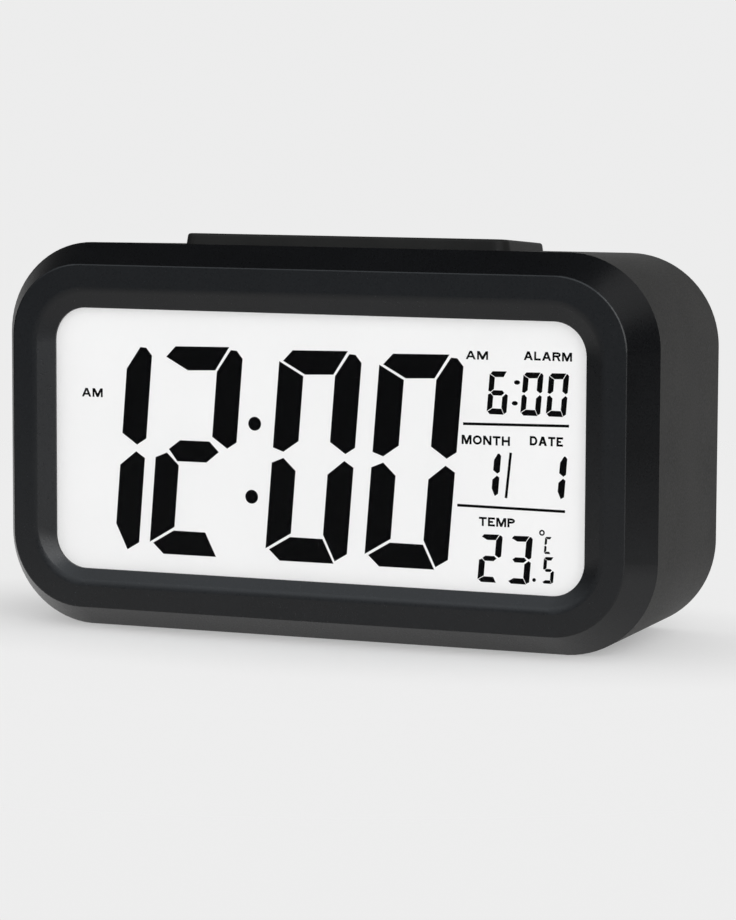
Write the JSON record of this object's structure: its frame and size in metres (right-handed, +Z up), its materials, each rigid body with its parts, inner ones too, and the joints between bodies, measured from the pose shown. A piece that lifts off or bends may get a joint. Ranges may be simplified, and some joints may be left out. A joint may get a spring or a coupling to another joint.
{
  "type": "digital alarm clock",
  "caption": "Desk alarm clock: rounded box body with a tapered front ring round a segment display, a press bar on top, rear keys, slide switch and hinged battery door.",
  "frame": {"origin": "centre of the bounding box's bottom face, on the surface the clock stands on", "axes": "+X to the right seen from the front, the display faces -Y, +Z up"},
  "size_m": [0.135, 0.048, 0.0776],
  "materials": {
    "bezel_black": "fine satin moulding",
    "body_black": "matte moulding",
    "bar_black": "satin moulding",
    "key_black": "matte moulding",
    "clear_lens": "clear flat acrylic",
    "lcd_glass": "display glass",
    "guide_acrylic": "polished acrylic",
    "white_plastic": "white moulding",
    "connector_rubber": "silicone with carbon layers",
    "lamp_white": "lamp package",
    "board_green": "solder mask",
    "resin_black": "cured resin",
    "can_metal": "plated can",
    "capacitor_sleeve": "shrunk sleeve",
    "sleeve_rubber": "silicone",
    "switch_black": "moulding",
    "buzzer_brass": "thin plate",
    "ceramic_white": "silvered ceramic",
    "spring_steel": "nickel plated",
    "lead_red": "insulated wire",
    "lead_black": "insulated wire",
    "cable_white": "flat cable",
    "screw_steel": "zinc plated",
    "cell_wrap": "plain wrapped cell"
  },
  "bodies": {
    "case": {"alarm_switch_case": "can_metal", "backlight_lamps": "lamp_white", "battery_cell_1": "cell_wrap", "battery_cell_2": "cell_wrap", "battery_cell_3": "cell_wrap", "battery_contacts_left": "spring_steel", "battery_contacts_right": "spring_steel", "battery_leads": "lead_red", "body_shell": "body_black", "buffer_capacitor": "capacitor_sleeve", "buzzer_ceramic": "ceramic_white", "buzzer_leads": "lead_black", "buzzer_plate": "buzzer_brass", "case_screws": "screw_steel", "controller_cap": "resin_black", "display_lens": "clear_lens", "elastomer_connectors": "connector_rubber", "front_bezel": "bezel_black", "key_board": "board_green", "key_board_screws": "screw_steel", "key_cable": "cable_white", "key_switches": "switch_black", "lcd_frame": "white_plastic", "lcd_front_glass": "lcd_glass", "lcd_rear_glass": "lcd_glass", "light_guide": "guide_acrylic", "main_board": "board_green", "main_board_screws": "screw_steel", "quartz_crystal": "can_metal", "rear_cover": "body_black", "reflector": "white_plastic", "return_sleeves": "sleeve_rubber", "snooze_switch": "switch_black", "thermistor": "resin_black"},
    "snooze_bar": {"snooze_bar": "bar_black", "snooze_switch_stem": "switch_black"},
    "battery_door": {"battery_door": "body_black", "door_latch": "body_black"},
    "alarm_switch": {"alarm_switch_knob": "key_black", "alarm_switch_lever": "switch_black"},
    "mode_button": {"mode_button": "key_black", "mode_switch_stem": "switch_black"},
    "set_button": {"set_button": "key_black", "set_switch_stem": "switch_black"},
    "up_button": {"up_button": "key_black", "up_switch_stem": "switch_black"},
    "down_button": {"down_button": "key_black", "down_switch_stem": "switch_black"}
  },
  "joints": [
    {"name": "snooze_press", "type": "slide", "parent": "case", "child": "snooze_bar", "axis": [0, 0, -1], "range_m": [0, 0.001], "stiffness_N_per_m": 1500, "springref_m": -0.0004, "deforming": ["return_sleeves"]},
    {"name": "battery_door_swing", "type": "hinge", "parent": "case", "child": "battery_door", "pos_m": [0, 0.0229, 0.0105], "axis": [-1, 0, 0], "range_deg": [0, 95], "deforming": ["door_latch"]},
    {"name": "alarm_switch_slide", "type": "slide", "parent": "case", "child": "alarm_switch", "axis": [1, 0, 0], "range_m": [0, 0.003]},
    {"name": "mode_button_press", "type": "slide", "parent": "case", "child": "mode_button", "axis": [0, -1, 0], "range_m": [0, 0.0005], "stiffness_N_per_m": 2000, "springref_m": -0.0002},
    {"name": "set_button_press", "type": "slide", "parent": "case", "child": "set_button", "axis": [0, -1, 0], "range_m": [0, 0.0005], "stiffness_N_per_m": 2000, "springref_m": -0.0002},
    {"name": "up_button_press", "type": "slide", "parent": "case", "child": "up_button", "axis": [0, -1, 0], "range_m": [0, 0.0005], "stiffness_N_per_m": 2000, "springref_m": -0.0002},
    {"name": "down_button_press", "type": "slide", "parent": "case", "child": "down_button", "axis": [0, -1, 0], "range_m": [0, 0.0005], "stiffness_N_per_m": 2000, "springref_m": -0.0002}
  ]
}
